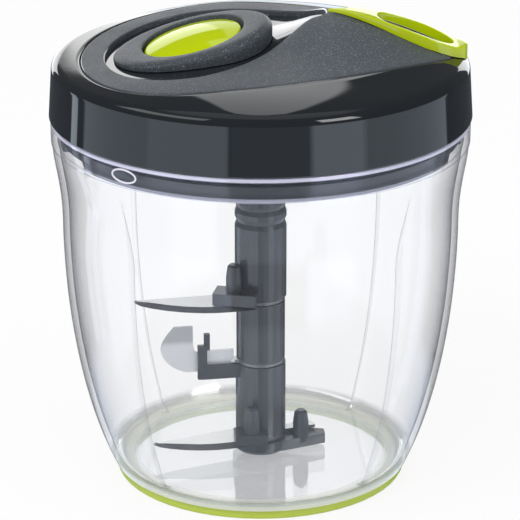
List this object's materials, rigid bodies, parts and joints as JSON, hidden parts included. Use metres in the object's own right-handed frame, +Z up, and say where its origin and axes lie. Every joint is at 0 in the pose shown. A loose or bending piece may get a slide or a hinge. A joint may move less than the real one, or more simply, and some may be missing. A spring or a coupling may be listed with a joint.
{
  "type": "pull cord food chopper",
  "caption": "Hand food chopper: clear bowl with a stack of turning blades below a domed lid that holds a sprung cord reel, a stop button and a pull handle.",
  "frame": {"origin": "on the bowl's axis at the underside of its foot ring", "axes": "+Z up through the lid; +X is the way the handle is pulled; the stop button is towards -X"},
  "size_m": [0.134, 0.134, 0.154],
  "materials": {
    "clear_plastic": "clear moulded plastic, very smooth",
    "foot_green": "smooth soft plastic",
    "gloss_black": "high gloss",
    "satin_grey": "fine texture",
    "lime": "smooth gloss",
    "shaft_grey": "semi gloss",
    "steel": "polished stainless",
    "cord_white": "braided cord",
    "bush_white": "plain plastic",
    "seal_rubber": "soft"
  },
  "bodies": {
    "bowl": {"bowl": "clear_plastic", "base_ring": "foot_green", "pivot_pin": "steel"},
    "lid": {"lid_shell": "gloss_black", "top_cover": "satin_grey", "button_hub": "satin_grey", "finger_well": "lime", "cord_eyelet": "steel", "lid_base": "shaft_grey", "neck_bush": "bush_white", "lid_seal": "seal_rubber", "reel_axle": "steel", "spring_cup": "shaft_grey", "recoil_spring": "steel", "button_spring": "steel", "screw_post_1": "gloss_black", "screw_post_2": "gloss_black", "screw_post_3": "gloss_black", "base_screw_1": "steel", "base_screw_2": "steel", "base_screw_3": "steel", "pull_cord": "cord_white"},
    "reel": {"cord_reel": "lime", "cord_winding": "cord_white"},
    "handle": {"pull_handle": "lime", "cord_bead": "steel"},
    "button": {"stop_button": "lime"},
    "blades": {"core_rod": "shaft_grey", "base_hub": "shaft_grey", "lower_segment": "shaft_grey", "middle_segment": "shaft_grey", "upper_segment": "shaft_grey", "upper_blade": "steel", "middle_blade": "steel", "lower_blade": "steel"}
  },
  "joints": [
    {"name": "lid_lift", "type": "slide", "parent": "bowl", "child": "lid", "axis": [0, 0, 1], "range_m": [0, 0.12]},
    {"name": "handle_pull", "type": "slide", "parent": "lid", "child": "handle", "axis": [1, 0, 0], "range_m": [0, 0.306], "stiffness_N_per_m": 12, "springref_m": -0.2},
    {"name": "reel_spin", "type": "hinge", "parent": "lid", "child": "reel", "pos_m": [0, 0, 0.1256], "axis": [0, 0, 1], "range_deg": [0, 856.24]},
    {"name": "button_press", "type": "slide", "parent": "lid", "child": "button", "axis": [0, 0, -1], "range_m": [0, 0.0022], "stiffness_N_per_m": 500, "springref_m": -0.002, "deforming": ["button_spring"]},
    {"name": "blade_spin", "type": "hinge", "parent": "bowl", "child": "blades", "pos_m": [0, 0, 0.005], "axis": [0, 0, 1], "range_deg": [0, 856.24]}
  ],
  "couplings": [
    {"joint": "reel_spin", "follows": "handle_pull", "rad_per_m": 48.781},
    {"joint": "blade_spin", "follows": "handle_pull", "rad_per_m": 48.781}
  ]
}
